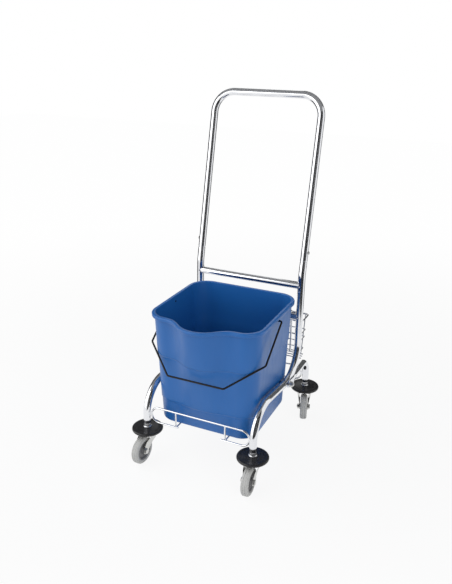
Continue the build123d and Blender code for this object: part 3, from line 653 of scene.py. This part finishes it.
# ---------------------------------------------------------------- bucket
# One blue moulding: a tapered square body with round corners, a stepped wall so
# that buckets nest, a pouring lip at the front and a flange rolled down at the rim.
blue = Finish("blue_moulding", Specular_IOR_Level=0.5)
tint = blue.grain(7.0, 3.0)
skin = blue.grain(1500.0, 2.0)
scuffs = blue.grain(90.0, 6.0, (1.0, 1.0, 0.25))
blue.set(Base_Color=blue.blend(tint, (0.012, 0.120, 0.400, 1.0), (0.016, 0.138, 0.440, 1.0)),
         Roughness=scuffs.ramp(0.45, 0.8) * 0.10 + 0.34)
blue.relief(skin, 0.00004, 0.3)

base_z, rim_z = 0.1096, 0.4206
draft = np.tan(np.radians(1.8))
wall, corner_r, lip_shoulder, lip_reach = 0.0026, 0.046, 0.001, 0.044
tight_z = rail_z + rail_fall * front_y - rail_fall * middle_y   # the rails' height at mid-wheelbase
half_at_rails = 0.142
back_at_rim = 0.098004 + middle_y
front_at_base = 0.175 - middle_y
lip_least = 0.0016          # the share of the lip that is left at the base


def outline(z, grow):
    """Outside of the bucket at a height: straights, corner arcs of corner_r, and a lip
    drawn as two cubic curves that stands out by lip_reach times the share of the height."""
    half = half_at_rails + draft * (z - tight_z) + grow
    back = back_at_rim + draft * (z - rim_z) + grow
    front = -(front_at_base + draft * (z - base_z) + grow)
    r = corner_r + grow
    wide = half - r - lip_shoulder
    lip = lip_reach * np.clip((z - base_z) / (rim_z - base_z), lip_least, 1)
    arc = np.linspace(0, np.pi / 2, 14)[:-1]
    right = np.stack([half - r + r * np.cos(arc), back - r + r * np.sin(arc)], -1)
    left = np.stack([-half + r - r * np.sin(arc), back - r + r * np.cos(arc)], -1)
    low_left = np.stack([-half + r - r * np.cos(arc), front + r - r * np.sin(arc)], -1)
    low_right = np.stack([half - r + r * np.sin(arc), front + r - r * np.cos(arc)], -1)
    t = np.linspace(0, 1, 31)[:-1, None]
    swing = wide / 2

    def cubic(a, b, c, d):
        return (1 - t)**3 * a + 3 * t * (1 - t)**2 * b + 3 * t**2 * (1 - t) * c + t**3 * d

    a, b, c, d = (np.array(p) for p in (
        (-wide, front), (-swing, front), (-swing, front - lip), (0, front - lip)))
    flank_left = cubic(a, b, c, d)
    mirror = np.array([-1, 1])
    flank_right = cubic(d * mirror, c * mirror, b * mirror, a * mirror)
    side_t = np.linspace(0, 1, 8)[:-1, None]

    def run(start, end):
        return np.array(start) + (np.array(end) - np.array(start)) * side_t

    flat = np.vstack([
        run((half, front + r), (half, back - r)), right,
        run((half - r, back), (-half + r, back)), left,
        run((-half, back - r), (-half, front + r)), low_left,
        run((-half + r, front), (-wide, front)), flank_left, flank_right,
        run((wide, front), (half - r, front)), low_right])
    return np.column_stack([flat, np.full(len(flat), z)])


# Each level is a height and how far its outline stands out from the plain taper. The
# wall steps out twice on its way up.
step_z, base_top = base_z + 0.196, base_z + 0.064
base_in, top_out = 0.0016, 0.0018
foot_r, floor_t, floor_r = 0.007, 0.0030, 0.009
quarter = np.pi / 2
outer = [(base_z + foot_r * (1 - np.cos(a)), -base_in - foot_r * (1 - np.sin(a)))
         for a in np.linspace(0, quarter, 7)]
outer += [(base_top - 0.0012, -base_in), (base_top, -0.0014), (base_top + 0.0012, -0.0004),
          (base_top + 0.0024, 0.0)]
outer += [(z, 0.0) for z in np.linspace(base_top + 0.01, step_z - 0.002, 10)]
outer += [(step_z - 0.0004, 0.0001), (step_z + 0.0006, 0.0009), (step_z + 0.0018, 0.0017),
          (step_z + 0.003, top_out)]
outer += [(z, top_out) for z in np.linspace(step_z + 0.01, rim_z - 0.004, 10)]

# The flange runs out under the rim, down and back up its outside, and over to the wall.
rim = [(rim_z - drop, out) for drop, out in (
    (0.0030, 0.0020), (0.0028, 0.0030), (0.0028, 0.0058), (0.0034, 0.0064), (0.0098, 0.0066),
    (0.0100, 0.0070), (0.0100, 0.0082), (0.0096, 0.0087), (0.0080, 0.0088), (0.0035, 0.0088))]
rim_out_r, rim_in_r = 0.0035, 0.0012
rim += [(rim_z - rim_out_r + rim_out_r * np.sin(a), 0.0053 + rim_out_r * np.cos(a))
        for a in np.linspace(0, quarter, 8)[1:]]
rim += [(rim_z - rim_in_r + rim_in_r * np.cos(a), 0.0004 - rim_in_r * np.sin(a))
        for a in np.linspace(0, quarter, 5)]


def eased(z, low, high):
    """0 below low, 1 above high, smooth between."""
    share = np.clip((z - low) / (high - low), 0, 1)
    return share * share * (3 - 2 * share)


inner = [(z, top_out * eased(z, step_z - 0.010, step_z + 0.014)
          + base_in * eased(z, base_top - 0.008, base_top + 0.014) - base_in - wall)
         for z in np.linspace(rim_z - 0.004, base_z + 0.013, 36)]
inner += [(base_z + floor_t + floor_r * (1 - np.sin(a)),
           -base_in - wall - floor_r * (1 - np.cos(a))) for a in np.linspace(0, quarter, 6)]
levels = [outline(z, out) for z, out in outer + rim + inner]


def closing(ring):
    """Smaller copies of a ring towards its middle, down to a point."""
    middle = ring.mean(0)
    return [middle + (ring - middle) * s for s in (0.9, 0.7, 0.45, 0.2, 0.0)]


levels = closing(levels[0])[::-1] + levels + closing(levels[-1])
piece("blue_bucket", np.array(levels), blue, "blue_plastic", "bucket", sharp=50.0)

# ---------------------------------------------------------------- bail
# Black coated 5 mm wire, bent to a flat grip with slanted shoulders; its ends turn
# in through the bucket's sides, and it hangs against the front of the bucket.
black = Finish("black_wire_coat", Specular_IOR_Level=0.22)
worn = black.grain(140.0, 5.0)
black.set(Base_Color=black.blend(worn, (0.004, 0.004, 0.005, 1.0), (0.012, 0.012, 0.012, 1.0)),
          Roughness=worn * 0.2 + 0.28)
black.relief(black.grain(1500.0, 2.0), 0.00003, 0.3)
hinge = next(joint for joint in frame["joints"] if joint["name"] == "bail_swing")["pos_m"]
hang = np.radians(37.256)
bail_r, bail_x, bail_end = 0.0025, 0.162411, 0.146323
shoulder_reach, grip_reach, grip_x = 0.131, 0.215, 0.079
fall = np.array([0.0, -np.cos(hang), -np.sin(hang)])
bail_points = [np.array([x, hinge[1], hinge[2]]) + reach * fall for x, reach in (
    (-bail_end, 0), (-bail_x, 0), (-bail_x, shoulder_reach), (-grip_x, grip_reach),
    (grip_x, grip_reach), (bail_x, shoulder_reach), (bail_x, 0), (bail_end, 0))]
bail_line = bent(bail_points, [0.005, 0.009, 0.009, 0.009, 0.009, 0.005], 9)
piece("black_bail", bar(bail_line, (0, np.sin(hang), -np.cos(hang)), bail_r, 20), black,
      "black_wire", "bail")

# ---------------------------------------------------------------- rear basket
# Chromed wire: a 5 mm rim, three thin rings, four thin ribs and three floor wires,
# spot welded where they cross, on two thick hooks bent over the lower crossbar.
thin_r, weld_step = 0.0016, 0.00335
bar_z = foot_z + crossbar_rise["lower"]
bar_y = rear_corner_y + upright_lean * (bar_z - rear_corner_z)
hook_r, hook_gap = 0.00275, 0.0003
hook_sweep = tube_r + hook_gap + hook_r
rim_top = bar_z - 0.021
basket_front = bar_y + hook_sweep + hook_r + touch + wire_r
basket_x, basket_deep, rim_corner = 0.158, 0.057, 0.009
back_lean = np.radians(12.0)
lean_in = np.tan(back_lean)


def basket_back(z):
    """The back leans in towards the floor of the basket."""
    return basket_front + basket_deep - lean_in * (rim_top - z)


def hoop(z, inset, radius, corner):
    """A closed wire ring with rounded corners at a height."""
    half, near, far = basket_x - inset, basket_front + inset, basket_back(z) - inset
    line = bent([(-half, near, z), (half, near, z), (half, far, z), (-half, far, z)],
                corner, 9, closed=True)
    return bar(line, (0, 0, 1), radius, 16, closed=True)


piece("chromed_basket_rim", hoop(rim_top, 0.0, wire_r, rim_corner), chrome, "basket_wire",
      "basket_rim", closed=True)
ring_drops = (0.042, 0.062, 0.096)
for number, drop in enumerate(ring_drops, 1):
    ring = hoop(rim_top - drop, weld_step, thin_r, rim_corner - weld_step)
    piece(f"chromed_basket_ring_{number}", ring, chrome, "basket_wire",
          f"basket_ring_{number}", closed=True)

floor_z, floor_rise = rim_top - 0.126, 0.012
floor_back_z = floor_z + floor_rise
rib_bend, wire_end_round = 0.006, 0.0003
rib_top = rim_top - wire_r - touch
rib_back_top = rib_top - thin_r * np.sin(back_lean)
ribs = []
for share in (-1, -1 / 3, 1 / 3, 1):
    x = (basket_x - rim_corner) * share
    line = bent([(x, basket_front, rib_top), (x, basket_front, floor_z),
                 (x, basket_back(floor_back_z), floor_back_z),
                 (x, basket_back(rib_back_top), rib_back_top)], rib_bend, 8)
    ribs.append(bar(line, (1, 0, 0), thin_r, 16, end_round=wire_end_round))
piece("chromed_basket_ribs", ribs, chrome, "basket_wire", "basket_ribs")

reach = basket_back(floor_back_z) - basket_front
rods = []
for share in (0.25, 0.5, 0.75):
    y = basket_front + share * reach
    z = floor_z + share * floor_rise + weld_step * np.hypot(reach, floor_rise) / reach
    rods.append(bar(straight((-basket_x, y, z), (basket_x, y, z)), (0, 0, 1), thin_r, 16,
                    end_round=wire_end_round))
piece("chromed_basket_floor_wires", rods, chrome, "basket_wire", "basket_floor_wires")

hook_x, hook_tip = 0.128, 0.008
rear, near, over = bar_y + hook_sweep, bar_y - hook_sweep, bar_z + hook_sweep
hooks = []
for side in (-1, 1):
    x = side * hook_x
    line = bent([(x, rear, rim_top - ring_drops[-1]), (x, rear, over), (x, near, over),
                 (x, near, bar_z - hook_tip)], hook_sweep - 1e-6, 14)
    hooks.append(bar(line, (1, 0, 0), hook_r, 20))
piece("chromed_basket_hooks", hooks, chrome, "basket_wire", "basket_hooks")
